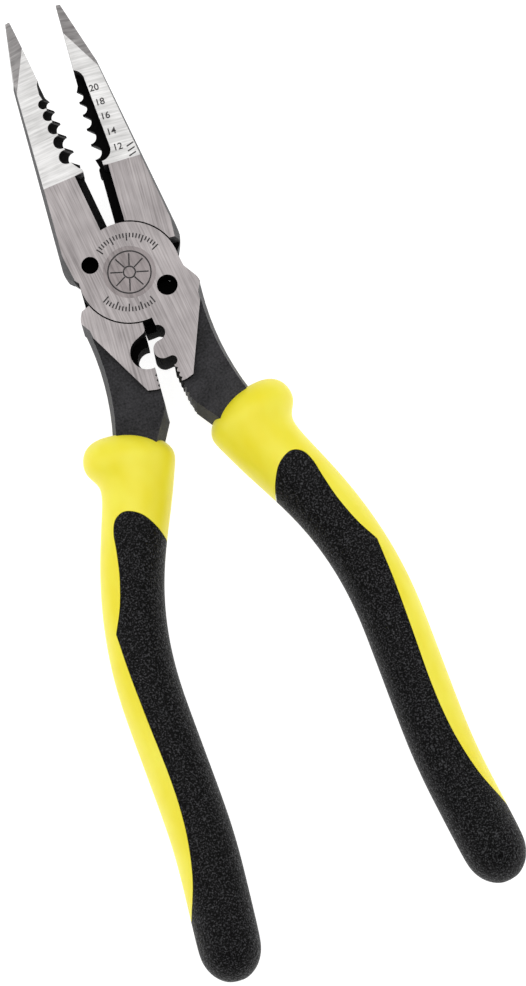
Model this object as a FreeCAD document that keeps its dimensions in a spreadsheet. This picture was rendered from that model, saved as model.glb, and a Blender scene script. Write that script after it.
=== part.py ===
"""Needle nose pliers for electricians: two lapped halves on a flush rivet, each with a two-shot grip.

Frame: origin on the pivot axis at the rear face of the joint, +Z out of the front face, +Y to the nose.
Both halves are drawn closed and in one orientation, "own level up": the level that carries the
half's own disc and blade is the upper one, its jaw is at -X and its handle is at +X. The front half
stands that way; the rear half is turned over about +Y. Each is then opened by the rest angle.
"""
import FreeCAD, Part
import math
import os
from FreeCAD import Placement, Rotation, Vector

MID = "Sizes.joint_thickness / 2"
TOP = "Sizes.joint_thickness"
SHEET_ROWS = [
    # joint
    ("joint_thickness", 12.5), ("split_gap", 0.06), ("disc_radius", 10.9), ("lap_gap", 0.3),
    ("rest_half_angle", 4.9), ("full_opening", 36.0),
    ("rivet_head_radius", 5.6), ("rivet_shank_radius", 4.0), ("rivet_head_depth", 1.8),
    ("rivet_running_gap", 0.05),
    ("hole_reach", 8.45), ("small_hole_angle", 144.9), ("small_hole_radius", 1.85),
    ("large_hole_angle", -44.3), ("large_hole_radius", 2.2), ("tap_allowance", 0.55),
    # jaw outline: half widths at three heights above the pivot
    ("jaw_length", 61.7), ("tip_half", 1.1), ("nose_root_height", 48.0), ("nose_root_half", 5.4),
    ("jaw_base_height", 8.0), ("jaw_base_half", 12.35), ("side_draft", 0.85),
    # jaw faces
    ("nose_face_height", 24.0), ("nose_step", 0.35), ("nose_taper", 4.0),
    ("facet_height", 54.8), ("facet_slope", 24.0),
    # blades
    ("cutter_top", 23.8), ("cutter_bevel", 1.9), ("shear_overlap", 0.15), ("blade_edge", 0.6),
    ("blade_bevel", 2.0), ("blade_top", 46.7), ("tooth_land", 0.5),
    # crimper
    ("crimp_radius", 2.0), ("crimp_reach", 18.0), ("crimp_offset", 0.6),
    ("bare_gap", 0.65), ("insulated_gap", 1.6), ("tongue_width", 1.5), ("tongue_reach", 2.0),
    ("parting_gap", 0.15),
    # handle
    ("handle_gap", 0.15), ("boss_end", 25.8), ("tang_step", 1.3), ("tang_draft", 1.2),
    ("tooth_pitch", 1.15), ("tooth_depth", 0.45), ("tooth_start", 22.5),
    ("tang_core_width", 6.4), ("tang_core_thickness", 5.0), ("tang_core_stop", 9.0),
    # grip
    ("grip_start_x", 8.8), ("grip_start_y", -40.0), ("grip_lean", 20.0), ("grip_run_top", 16.0),
    ("grip_bow_radius", 82.0), ("grip_return", 5.0), ("grip_run_middle", 22.0),
    ("grip_heel_radius", 120.0), ("grip_flare", 2.0), ("grip_run_end", 14.7),
    ("grip_half_width", 6.65), ("grip_half_depth", 7.5), ("grip_cap", 7.8), ("overmould_wall", 2.2),
    ("guard_half_width", 9.9), ("guard_half_depth", 8.2), ("guard_tilt", 5.8),
    ("guard_x", 10.55), ("guard_y", -38.0), ("guard_blend", 6.0), ("core_stop", 4.0),
    ("shoulder_swell", 1.1), ("shoulder_run", 36.0),
]
# wire stripping notches: height above the pivot, radius of the finished hole
WIRE_NOTCHES = [(28.5, 1.2), (32.2, 0.95), (35.6, 0.8), (38.6, 0.65), (41.4, 0.55)]
# thumb guard: distance below its widest level, shift outwards, width and depth as parts of the full size
GUARD_PROFILE = [(-5.6, 1.9, 0.35, 0.42), (-5.0, 1.6, 0.60, 0.62), (-3.6, 0.9, 0.83, 0.82),
                 (-1.8, 0.3, 0.96, 0.95), (0.0, 0.0, 1.0, 1.0), (1.8, -0.1, 0.955, 0.98),
                 (3.6, -0.8, 0.84, 0.94)]
GRIP_STATIONS = 9
CAP_PARTS = (0.3, 0.55, 0.75, 0.9, 0.98)


def make_sheet(doc):
    """Write the driving dimensions and return a plain look-up of their values."""
    sheet = doc.addObject("Spreadsheet::Sheet", "Sizes")
    for row, (alias, value) in enumerate(SHEET_ROWS, start=1):
        sheet.set(f"A{row}", alias)
        sheet.set(f"B{row}", str(value))
        sheet.setAlias(f"B{row}", alias)
    doc.recompute()
    return {alias: float(sheet.get(alias)) for alias, _ in SHEET_ROWS}


# ---------------------------------------------------------------- drawing helpers
def polar(radius, degrees):
    """Point at a radius and angle about the pivot."""
    angle = math.radians(degrees)
    return (radius * math.cos(angle), radius * math.sin(angle))


def on_circle(radius, x, sign):
    """Point of a circle about the pivot at a given x, above (+1) or below (-1) the centre."""
    return (x, sign * math.sqrt(radius**2 - x**2))


def arc_mid(radius, start, end):
    """Middle of the anticlockwise arc about the pivot from start to end."""
    a = math.atan2(start[1], start[0])
    b = math.atan2(end[1], end[0])
    if b < a:
        b += 2 * math.pi
    return polar(radius, math.degrees((a + b) / 2))


def plane(body, role):
    """One of the body's own origin planes."""
    return next(item for item in body.Origin.OriginFeatures if item.Role == role)


def new_sketch(body, name, role="XY_Plane", height=None):
    """Empty sketch on an origin plane of the body, lifted along the normal by an expression."""
    sketch = body.newObject("Sketcher::SketchObject", name)
    sketch.AttachmentSupport = (plane(body, role), [""])
    sketch.MapMode = "FlatFace"
    if height is not None:
        sketch.setExpression("AttachmentOffset.Base.z", height)
    return sketch


def draw(sketch, start, steps):
    """Draw a closed outline: a step is (end,) for a line or (middle, end) for an arc."""
    here = start
    for step in steps:
        end = step[-1]
        if len(step) == 1:
            edge = Part.LineSegment(Vector(*here, 0), Vector(*end, 0))
        else:
            edge = Part.Arc(Vector(*here, 0), Vector(*step[0], 0), Vector(*end, 0))
        sketch.addGeometry(edge, False)
        here = end
    return sketch


def polygon(points):
    """Start and line steps of a closed polygon."""
    return points[0], [(point,) for point in points[1:] + points[:1]]


def pad(body, name, sketch, length):
    """Pad upwards from a sketch by an expression."""
    feature = body.newObject("PartDesign::Pad", name)
    feature.Profile = sketch
    feature.setExpression("Length", length)
    return feature


def pocket(body, name, sketch, length, upwards=False):
    """Pocket downwards, or upwards, from a sketch by an expression."""
    feature = body.newObject("PartDesign::Pocket", name)
    feature.Profile = sketch
    feature.Reversed = upwards
    feature.setExpression("Length", length)
    return feature


def bevel_cut(body, name, low, low_outline, high, high_outline):
    """Cut with a ruled loft between two outlines of equal edge count at two heights."""
    sections = []
    for tag, height, outline in (("low", low, low_outline), ("high", high, high_outline)):
        sections.append(draw(new_sketch(body, f"{name}_{tag}", height=height), *outline))
    feature = body.newObject("PartDesign::SubtractiveLoft", name)
    feature.Profile = sections[0]
    feature.Sections = [(sections[1], [""])]
    feature.Ruled = True
    return feature


# ---------------------------------------------------------------- the two halves
def crimp_bump(s):
    """Front half's inner edge below the disc: lapping tongue, notch, round bump and notch."""
    wall = s["parting_gap"]
    tongue = s["disc_radius"] + s["lap_gap"] + s["tongue_width"]
    radius = s["crimp_radius"]
    bump_x = -s["crimp_offset"]
    bump_y = -s["crimp_reach"]
    notch_end = bump_y + radius + 0.1
    tongue_end = on_circle(tongue, wall, -1)
    return [
        (on_circle(tongue, -s["tongue_reach"], -1),),
        (on_circle(tongue, -s["tongue_reach"] / 2, -1), tongue_end),
        ((wall + 1.35, (tongue_end[1] + notch_end) / 2), (wall, notch_end)),
        ((bump_x, bump_y + radius),),
        ((bump_x - radius, bump_y), (bump_x, bump_y - radius)),
        ((s["handle_gap"], bump_y - radius),),
        ((s["handle_gap"] + 1.1, bump_y - radius - 1.05), (s["handle_gap"], bump_y - radius - 2.1)),
    ]


def crimp_nest(s):
    """Rear half's inner edge below the disc: a straight nose and the smaller of the two nests."""
    wall = s["parting_gap"]
    radius = s["crimp_radius"] + s["bare_gap"]
    centre = (s["crimp_offset"], -s["crimp_reach"])
    rise = math.sqrt(radius**2 - (centre[0] - wall) ** 2)
    drop = math.sqrt(radius**2 - (centre[0] - s["handle_gap"]) ** 2)
    return [
        ((wall, centre[1] + rise),),
        ((centre[0] + radius, centre[1]), (s["handle_gap"], centre[1] - drop)),
    ]


def jaw_corners(s):
    """Outer corners of the jaw, from the tip down to where it meets the disc."""
    return {
        "tip": (-s["tip_half"], s["jaw_length"]),
        "root": (-s["nose_root_half"], s["nose_root_height"]),
        "base": (-s["jaw_base_half"], s["jaw_base_height"]),
        "heel": (-s["jaw_base_half"] + 0.5, s["jaw_base_height"] - 3.7),
        "end": polar(s["disc_radius"], 167.5),
    }


def blank_outline(s, front):
    """Outline of the forging in its own orientation, jaw at -X and handle at +X."""
    jaw = jaw_corners(s)
    disc = s["disc_radius"]
    if front:
        bottom = on_circle(disc, -s["tongue_reach"], -1)
        inner = crimp_bump(s)
    else:
        bottom = on_circle(disc, s["parting_gap"], -1)
        inner = crimp_nest(s)
    lobe_start = polar(disc, -5)
    blade_start = on_circle(disc, s["blade_edge"], 1)
    start = (0, s["jaw_length"])
    steps = [
        (jaw["tip"],),
        (jaw["root"],),
        (jaw["base"],),
        ((jaw["base"][0] - 0.1, jaw["base"][1] - 2.0), jaw["heel"]),
        (jaw["end"],),
        (arc_mid(disc, jaw["end"], bottom), bottom),
        *inner,
        ((s["handle_gap"], -32.2),),
        ((2.8, -37.2),),
        ((6.0, -45.0),),
        ((12.4, -45.0),),
        ((12.7, -32.5),),
        ((11.4, -20.0), (12.5, -9.0)),
        ((12.65, -7.7), (12.2, -6.2)),
        ((10.9, -3.5),),
        (lobe_start,),
        (arc_mid(disc, lobe_start, blade_start), blade_start),
        ((s["blade_edge"], s["blade_top"] - 3.8),),
        ((0, s["blade_top"] - 3.0),),
        (start,),
    ]
    return start, steps


def lap_recess(body, s):
    """Clear the other level for the mating half: its disc, its blade and its corners."""
    recess = s["disc_radius"] + s["lap_gap"]
    strip = -s["cutter_bevel"]
    top = s["blade_top"] - 0.6
    strip_foot = on_circle(recess, strip, 1)
    jaw_stop = polar(recess, 154)
    level = polar(recess, 180)
    lobe_stop = polar(recess, -25)
    outline = (0, top), [
        ((-1.3, top - 1.0), (-1.75, top - 2.5)),
        ((-3.1, 27.8),),
        ((-2.45, 25.7), (-0.7, 24.9)),
        ((-0.7, s["cutter_top"]),),
        ((strip + 0.15, s["cutter_top"]),),
        (strip_foot,),
        (arc_mid(recess, strip_foot, jaw_stop), jaw_stop),
        ((-15, jaw_stop[1]),),
        ((-15, 0),),
        (level,),
        (arc_mid(recess, level, lobe_stop), lobe_stop),
        (polar(recess + 3.2, -25),),
        ((17, 0),),
        ((17, 20),),
        ((4, top),),
        ((0, top),),
    ]
    sketch = draw(new_sketch(body, "lap_recess_outline"), *outline)
    pocket(body, "lap_recess", sketch, MID + " + Sizes.split_gap / 2", upwards=True)


def blade_outline(s, face):
    """Boundary of the blade's bevel, at the cutting edge or at the outer face."""
    shift = -s["blade_bevel"] if face else 0.0
    edge = s["blade_edge"] + shift
    cutter = s["shear_overlap"] - (s["cutter_bevel"] if face else 0.0)
    foot = on_circle(s["disc_radius"], cutter, 1)
    steps = [
        ((cutter, s["cutter_top"] - (0.0 if face else 0.4)),),
        ((0.2, s["cutter_top"]),),
        ((0.4, s["cutter_top"] + 0.6), (0.05 + shift / 8, s["cutter_top"] + 1.3)),
    ]
    below = WIRE_NOTCHES[0][0] - 1.7
    for index, (height, radius) in enumerate(WIRE_NOTCHES):
        if index + 1 < len(WIRE_NOTCHES):
            above = (height + WIRE_NOTCHES[index + 1][0]) / 2
        else:
            above = height + 1.2
        land = s["tooth_land"] / 2
        steps.append(((edge, below + land),))
        depth = (-radius if not face else shift - 0.9 * radius - 0.3)
        steps.append(((depth, height), (edge, above - land)))
        below = above
    last = steps[-1][-1]
    steps += [
        ((0.05 + shift * 0.75, last[1] + 1.2),),
        ((shift * 0.45, s["blade_top"] - 1.0),),
        ((0, s["blade_top"]),),
        ((4, s["blade_top"]),),
    ]
    far = on_circle(s["disc_radius"], 4.0, 1)
    steps += [(far,), (arc_mid(s["disc_radius"], far, foot), foot)]
    return foot, steps


def half_body(doc, label, s, front):
    """One forged half with all its machining, in its own orientation."""
    body = doc.addObject("PartDesign::Body", label)
    body.Label = label
    blank = draw(new_sketch(body, "blank_outline"), *blank_outline(s, front))
    pad(body, "blank", blank, TOP)
    tang_core(body, s)
    lap_recess(body, s)
    if front:
        trim_tongue(body, s)
    else:
        open_nest(body, s)
        tongue_slot(body, s)
    bevel_cut(body, "blade_bevel", MID + " + Sizes.split_gap / 2", blade_outline(s, False),
              TOP, blade_outline(s, True))
    draft_sides(body, s)
    nose_faces(body, s)
    tip_facets(body, s)
    thin_tang(body, s)
    rivet_hole(body, s, 0.0 if front else s["rivet_running_gap"])
    shear_holes(body, s, front)
    handle_teeth(body, s, 10 if front else 3)
    return body


def trim_tongue(body, s):
    """Leave the front half's tongue on its lower level only."""
    disc = s["disc_radius"]
    wall = s["parting_gap"]
    left = -s["tongue_reach"] - 0.5
    reach = -(disc + s["lap_gap"] + s["tongue_width"] + 0.1)
    start = on_circle(disc, left, -1)
    end = on_circle(disc, wall, -1)
    outline = start, [(arc_mid(disc, start, end), end), ((wall, reach),), ((left, reach),), (start,)]
    sketch = draw(new_sketch(body, "tongue_trim_outline", height=TOP), *outline)
    pocket(body, "tongue_trim", sketch, MID + " + Sizes.split_gap / 2")


def tongue_slot(body, s):
    """Slot in the rear half's own level where the front half's tongue laps in."""
    disc = s["disc_radius"]
    outer = disc + s["tongue_width"] + 2 * s["lap_gap"]
    right = s["tongue_reach"] + 0.35
    inner_left = on_circle(disc, 0, -1)
    inner_right = on_circle(disc, right, -1)
    outer_right = on_circle(outer, right, -1)
    outer_left = on_circle(outer, 0, -1)
    outline = inner_left, [
        (on_circle(disc, right / 2, -1), inner_right),
        (outer_right,),
        (on_circle(outer, right / 2, -1), outer_left),
        (inner_left,),
    ]
    sketch = draw(new_sketch(body, "tongue_slot_outline", height=TOP), *outline)
    pocket(body, "tongue_slot", sketch, MID + " + Sizes.split_gap / 2")


def open_nest(body, s):
    """Wider nest and rounded nose on the rear half's other level, for insulated terminals."""
    wall = s["parting_gap"]
    radius = s["crimp_radius"] + s["insulated_gap"]
    centre = (s["crimp_offset"] + 0.3, -s["crimp_reach"] + 0.3)
    drop = math.sqrt(radius**2 - (centre[0] - s["handle_gap"]) ** 2)
    shoulder = (centre[0] + radius * math.cos(math.radians(112)),
                centre[1] + radius * math.sin(math.radians(112)))
    outline = (-2, -12.6), [
        ((wall, -12.6),),
        ((wall + 0.35, -13.4), (shoulder[0] + 1.3, shoulder[1] + 0.75)),
        ((centre[0] + radius * math.cos(math.radians(62)),
          centre[1] + radius * math.sin(math.radians(62))),),
        ((centre[0] + radius, centre[1]), (s["handle_gap"], centre[1] - drop)),
        ((-2, centre[1] - drop),),
        ((-2, -12.6),),
    ]
    bevel_cut(body, "wide_nest", "0", outline, MID + " + Sizes.split_gap / 2", outline)


def draft_sides(body, s):
    """Forging draft on the outer side of the jaw and of the tang, to both faces."""
    jaw = jaw_corners(s)
    draft = s["side_draft"]
    run = (jaw["tip"][0] - jaw["root"][0]) / (jaw["tip"][1] - jaw["root"][1])
    beyond = jaw["tip"][1] + 1.6
    base = jaw["base"][1] + 1.0
    jaw_mid = polygon([
        (jaw["tip"][0] + 1.6 * run, beyond), jaw["root"], (jaw["base"][0], base),
        (jaw["base"][0] - 0.6, 0.0), (-20, 0), (-20, beyond)])
    jaw_face = polygon([
        (jaw["tip"][0] + 1.6 * run + 0.6 * draft, beyond),
        (jaw["root"][0] + 0.8 * draft, jaw["root"][1]), (jaw["base"][0] + draft + 0.1, base),
        (jaw["base"][0] + 1.3, 0.0), (-20, 0), (-20, beyond)])
    step = s["tang_draft"]
    tang_mid = (12.95, -7.0), [
        ((12.5, -9.0),), ((11.4, -20.0), (12.7, -32.5)), ((12.5, -45.0),),
        ((20, -45.0),), ((20, -7.0),), ((12.95, -7.0),)]
    tang_face = (12.75, -8.0), [
        ((12.5 - step, -10.0),), ((11.4 - step, -20.5), (12.7 - step, -32.5)), ((12.5 - step, -45.0),),
        ((20, -45.0),), ((20, -8.0),), ((12.75, -8.0),)]
    gap = s["handle_gap"]
    corner_mid = polygon([(gap, -30.5), (gap, -32.2), (2.8, -37.2), (4.0, -40.0), (-5, -40.0),
                          (-5, -30.5)])
    corner_face = polygon([(gap, -28.5), (1.4, -31.0), (4.4, -36.2), (5.6, -39.0), (-5, -39.0),
                           (-5, -28.5)])
    for side, mid, face in (("jaw", jaw_mid, jaw_face), ("tang", tang_mid, tang_face),
                            ("corner", corner_mid, corner_face)):
        bevel_cut(body, f"{side}_draft_front", MID, mid, TOP, face)
        bevel_cut(body, f"{side}_draft_rear", "0", face, MID, mid)


def nose_faces(body, s):
    """Grind both faces of the nose: a small step at its root, then a taper to the tip."""
    thickness = s["joint_thickness"]
    root = s["nose_face_height"]
    end = s["jaw_length"] + 3
    fall = s["nose_step"] + (end - root) * math.tan(math.radians(s["nose_taper"]))
    sketch = new_sketch(body, "nose_taper_outline", "YZ_Plane")
    draw(sketch, *polygon([(root, thickness - s["nose_step"]), (end, thickness - fall),
                           (end, thickness + 1), (root, thickness + 1)]))
    draw(sketch, *polygon([(root, s["nose_step"]), (end, fall), (end, -1), (root, -1)]))
    feature = pocket(body, "nose_taper", sketch, "60")
    feature.Midplane = True


def tip_facets(body, s):
    """Sloping facets that run diagonally from the nose's outer side to its tip."""
    thickness = s["joint_thickness"]
    start = (0.0, s["facet_height"])
    end = (-s["nose_root_half"] + 0.2, s["nose_root_height"] + 0.2)
    length = math.hypot(end[0] - start[0], end[1] - start[1])
    along = ((end[0] - start[0]) / length, (end[1] - start[1]) / length)
    outward = (along[1], -along[0])
    face_drop = s["nose_step"] + (s["facet_height"] - s["nose_face_height"]) * math.tan(
        math.radians(s["nose_taper"]))

    def boundary(drop):
        """Half plane beyond the facet's line, moved outwards for a given depth below the face."""
        shift = (drop - face_drop) / math.tan(math.radians(s["facet_slope"]))
        a = [start[i] - 14 * along[i] + shift * outward[i] for i in range(2)]
        b = [end[i] + 6 * along[i] + shift * outward[i] for i in range(2)]
        far = [30 * outward[i] for i in range(2)]
        return polygon([tuple(a), tuple(b), (b[0] + far[0], b[1] + far[1]), (a[0] + far[0], a[1] + far[1])])

    depth = 5.0
    bevel_cut(body, "tip_facet_front", f"{TOP} - {depth}", boundary(depth), TOP, boundary(0))
    bevel_cut(body, "tip_facet_rear", "0", boundary(0), f"{depth}", boundary(depth))


def thin_tang(body, s):
    """Step both faces of the tang down from the ground boss of the joint."""
    end = s["boss_end"]
    points = [(-1.0, -end - 0.1), (1.2, -end - 0.1), (2.9, -end + 0.2), (12.9, -8.4), (25, -8.4),
              (25, -60), (-1.0, -60)]
    for name, height, upwards in (("front", TOP, False), ("rear", "0", True)):
        sketch = draw(new_sketch(body, f"tang_{name}_outline", height=height), *polygon(points))
        pocket(body, f"tang_{name}_step", sketch, "Sizes.tang_step", upwards=upwards)


def rivet_hole(body, s, gap):
    """Countersunk hole for the pivot rivet, with a running gap where it turns."""
    head = s["rivet_head_radius"] + gap * 1.4
    shank = s["rivet_shank_radius"] + gap
    top = s["joint_thickness"]
    sketch = new_sketch(body, "rivet_hole_outline", "XZ_Plane")
    draw(sketch, *polygon([(0, -1), (shank, -1), (shank, top - s["rivet_head_depth"]), (head, top),
                           (head, top + 1), (0, top + 1)]))
    groove = body.newObject("PartDesign::Groove", "rivet_hole")
    groove.Profile = sketch
    groove.ReferenceAxis = (sketch, ["V_Axis"])
    groove.Angle = 360


def shear_holes(body, s, front):
    """Bolt shearing holes, in line when fully open: clearance in the front half, tapped behind."""
    for name in ("small", "large"):
        angle = s[f"{name}_hole_angle"]
        radius = s[f"{name}_hole_radius"]
        if not front:
            angle = 180 - (angle + s["full_opening"])
            radius -= s["tap_allowance"]
        x, y = polar(s["hole_reach"], angle)
        sketch = new_sketch(body, f"{name}_hole_outline", height=TOP)
        circle = Part.Circle(Vector(x, y, 0), Vector(0, 0, 1), radius)
        sketch.addGeometry(circle, False)
        pocket(body, f"{name}_shear_hole", sketch, TOP)


def handle_teeth(body, s, count):
    """Row of fine gripping teeth along the inner edge of the tang."""
    edge = s["handle_gap"]
    pitch = s["tooth_pitch"]
    sketch = new_sketch(body, "handle_teeth_outline", height=TOP)
    for index in range(count):
        high = -s["tooth_start"] - index * pitch
        valley = (edge + s["tooth_depth"], high - pitch * 0.35)
        low = high - pitch * 0.75
        draw(sketch, *polygon([(edge - 0.4, high), (edge, high), valley, (edge, low), (edge - 0.4, low)]))
    pocket(body, "handle_teeth", sketch, TOP)


# ---------------------------------------------------------------- the handle's route
def route_pieces(s):
    """Straight runs and bends of the handle's centre line: length and turn of each, in degrees."""
    bow = s["grip_lean"] + s["grip_return"]
    heel = s["grip_return"] + s["grip_flare"]
    return [
        (s["grip_run_top"], 0.0),
        (s["grip_bow_radius"] * math.radians(bow), -bow),
        (s["grip_run_middle"], 0.0),
        (s["grip_heel_radius"] * math.radians(heel), heel),
        (s["grip_run_end"], 0.0),
    ]


def route_station(s, distance):
    """Place (x, y) and heading on the centre line; heading 0 runs along -Y, positive outwards."""
    x, y, heading = s["grip_start_x"], s["grip_start_y"], s["grip_lean"]
    for length, turn in route_pieces(s):
        part = min(distance, length)
        now = heading + turn * part / length
        if turn:
            radius = length / math.radians(turn)
            a, b = math.radians(heading), math.radians(now)
            x += radius * (math.cos(a) - math.cos(b))
            y -= radius * (math.sin(b) - math.sin(a))
        else:
            x += part * math.sin(math.radians(heading))
            y -= part * math.cos(math.radians(heading))
        heading = now
        distance -= part
        if distance <= 0:
            break
    return x, y, heading


def route_length(s):
    """Length of the centre line up to the rounded end."""
    return sum(length for length, _ in route_pieces(s))


def beside(station, offset):
    """Point beside a station, outwards for a positive offset."""
    x, y, heading = station
    angle = math.radians(heading)
    return (x + offset * math.cos(angle), y + offset * math.sin(angle))


def tang_core(body, s):
    """Flat bar of the tang that runs down inside the grip."""
    half = s["tang_core_width"] / 2
    outward = []
    inward = []
    start = 0.0
    stop = route_length(s) - s["tang_core_stop"]
    first = route_station(s, 0.0)
    for length, turn in route_pieces(s):
        end = min(start + length, stop)
        middle = route_station(s, (start + end) / 2)
        last = route_station(s, end)
        previous = beside(route_station(s, start), -half)
        if turn:
            outward.append((beside(middle, half), beside(last, half)))
            inward.append((beside(middle, -half), previous))
        else:
            outward.append((beside(last, half),))
            inward.append((previous,))
        start = end
    corner = beside(route_station(s, stop), -half)
    outline = beside(first, half), [*outward, (corner,), *reversed(inward), (beside(first, half),)]
    sketch = draw(new_sketch(body, "tang_core_outline", height=MID), *outline)
    feature = pad(body, "tang_core", sketch, "Sizes.tang_core_thickness")
    feature.Midplane = True


# ---------------------------------------------------------------- rivet and grips
def rivet_body(doc, s):
    """Flush rivet with a countersunk head at each face."""
    body = doc.addObject("PartDesign::Body", "pivot_rivet")
    body.Label = "pivot_rivet"
    top = s["joint_thickness"]
    head = s["rivet_head_radius"]
    shank = s["rivet_shank_radius"]
    depth = s["rivet_head_depth"]
    sketch = new_sketch(body, "rivet_outline", "XZ_Plane")
    draw(sketch, *polygon([(0, 0), (head, 0), (shank, depth), (shank, top - depth), (head, top),
                           (0, top)]))
    turn = body.newObject("PartDesign::Revolution", "rivet_turn")
    turn.Profile = sketch
    turn.ReferenceAxis = (sketch, ["V_Axis"])
    turn.Angle = 360
    return body


def guard_sections(s):
    """Ovals of the thumb guard, from its crown down: centre, heading, half width, half depth."""
    heading = s["guard_tilt"]
    tilt = math.radians(heading)
    sections = []
    for fall, shift, width, depth in GUARD_PROFILE:
        level = (s["guard_x"] + fall * math.sin(tilt), s["guard_y"] - fall * math.cos(tilt), heading)
        sections.append((*beside(level, shift), heading,
                         s["guard_half_width"] * width, s["guard_half_depth"] * depth))
    return sections


def bar_sections(s, start, stop, wall):
    """Ovals along the route and over the rounded end, thinner than the grip by a wall."""
    pitch = (stop - start) / GRIP_STATIONS
    places = [(start + pitch * index, 1.0) for index in range(GRIP_STATIONS + 1)]
    places += [(stop + s["grip_cap"] * part, math.sqrt(1 - part**2)) for part in CAP_PARTS]
    sections = []
    for distance, scale in places:
        x, y, heading = route_station(s, distance)
        beyond = max(distance - route_length(s), 0.0)
        x += beyond * math.sin(math.radians(heading))
        y -= beyond * math.cos(math.radians(heading))
        swell = s["shoulder_swell"] * max(1.0 - distance / s["shoulder_run"], 0.0) ** 2
        sections.append((x, y, heading, (s["grip_half_width"] + swell - wall) * scale,
                         (s["grip_half_depth"] - wall) * scale))
    return sections


def oval(sketch, wide, deep):
    """Draw an ellipse as four quarters that always start on the wide axis, so sections match."""
    if wide >= deep:
        curve = Part.Ellipse(Vector(wide, 0, 0), Vector(0, deep, 0), Vector())
        first = 0.0
    else:
        curve = Part.Ellipse(Vector(0, deep, 0), Vector(-wide, 0, 0), Vector())
        first = -math.pi / 2
    for quarter in range(4):
        start = first + quarter * math.pi / 2
        sketch.addGeometry(Part.ArcOfEllipse(curve, start, start + math.pi / 2), False)


def grip_loft(doc, name, s, placement, sections):
    """Loft a bar through ovals that stand square to the handle's route."""
    profiles = []
    for index, (x, y, heading, wide, deep) in enumerate(sections):
        angle = math.radians(heading)
        along = Vector(math.sin(angle), -math.cos(angle), 0)
        across = Vector(math.cos(angle), math.sin(angle), 0)
        frame = Rotation(across, Vector(0, 0, 1), along * -1, "ZXY")
        profile = doc.addObject("Sketcher::SketchObject", f"{name}_section_{index}")
        profile.Placement = placement * Placement(Vector(x, y, s["joint_thickness"] / 2), frame)
        oval(profile, wide, deep)
        profiles.append(profile)
    loft = doc.addObject("Part::Loft", name)
    loft.Sections = profiles
    loft.Solid = True
    return loft


def overmould_outline(s):
    """Plan of the soft overmould: an arch at the top, a kink, then a long waist to the heel."""
    return (7.0, -57.6), [
        ((10.3, -51.4), (14.5, -49.2)),
        ((17.2, -50.9), (18.0, -54.5)),
        ((18.5, -62.5), (22.6, -73.6)),
        ((21.0, -94.0), (19.3, -113.0)),
        ((20.3, -124.5), (23.1, -134.8)),
        ((30, -135.5),), ((30, -169),), ((-5, -169),), ((-5, -57.6),), ((7.0, -57.6),),
    ]


def grip(doc, side, s, placement, half):
    """Hard sleeve with a thumb guard, and the soft overmould set into it."""
    length = route_length(s)
    outer = grip_loft(doc, f"{side}_outer", s, placement,
                      guard_sections(s) + bar_sections(s, s["guard_blend"], length, 0.0))
    core = grip_loft(doc, f"{side}_core", s, placement,
                     bar_sections(s, 0.0, length - s["core_stop"], s["overmould_wall"]))
    plan = doc.addObject("Sketcher::SketchObject", f"{side}_overmould_plan")
    plan.Placement = placement * Placement(Vector(0, 0, -10), Rotation())
    draw(plan, *overmould_outline(s))
    prism = doc.addObject("Part::Extrusion", f"{side}_overmould_prism")
    prism.Base = plan
    prism.DirMode = "Normal"
    prism.LengthFwd = 40
    prism.Solid = True
    shell = doc.addObject("Part::Cut", f"{side}_prism_shell")
    shell.Base = prism
    shell.Tool = core
    overmould = doc.addObject("Part::MultiCommon", f"{side}_grip_overmould")
    overmould.Label = f"{side}_grip_overmould"
    overmould.Shapes = [outer, shell]
    hard = doc.addObject("Part::Cut", f"{side}_hard_body")
    hard.Base = outer
    hard.Tool = shell
    sleeve = doc.addObject("Part::Cut", f"{side}_grip_sleeve")
    sleeve.Label = f"{side}_grip_sleeve"
    sleeve.Base = hard
    sleeve.Tool = half
    return [sleeve, overmould]


def build():
    """Build the document, check every object and write the sub-parts."""
    doc = FreeCAD.newDocument("needle_nose_pliers")
    s = make_sheet(doc)
    open_front = Placement(Vector(), Rotation(Vector(0, 0, 1), s["rest_half_angle"]))
    flip = Placement(Vector(0, 0, s["joint_thickness"]), Rotation(Vector(0, 1, 0), 180))
    open_rear = Placement(Vector(), Rotation(Vector(0, 0, 1), -s["rest_half_angle"])) * flip
    front = half_body(doc, "front_half", s, True)
    rear = half_body(doc, "rear_half", s, False)
    front.Placement = open_front
    rear.Placement = open_rear
    doc.recompute()
    parts = [front, rear, rivet_body(doc, s)]
    parts += grip(doc, "right", s, open_front, front)
    parts += grip(doc, "left", s, open_rear, rear)
    doc.recompute()
    check(doc, parts)
    os.makedirs("parts", exist_ok=True)
    for part in parts:
        part.Shape.exportStep(f"parts/{part.Label}.step")
        print(part.Label, round(part.Shape.Volume, 1), len(part.Shape.Solids), len(part.Shape.Faces))


def check(doc, parts):
    """Stop on any failed object, and on any sub-part that is not one valid solid."""
    for item in doc.Objects:
        if "Invalid" in item.State or "Error" in item.State:
            raise RuntimeError(f"{item.Name} failed: {item.State}")
    for part in parts:
        if part.Shape.isNull() or not part.Shape.isValid():
            raise RuntimeError(f"{part.Label} has no valid shape")


build()
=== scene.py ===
"""Looks for needle nose pliers: forged halves, gauge marks, two-shot grips and the studio."""

import logging
import math
from collections.abc import Iterable
from dataclasses import dataclass, field
from enum import Enum
from typing import Any

import bpy
from mathutils import Matrix, Vector


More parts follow.
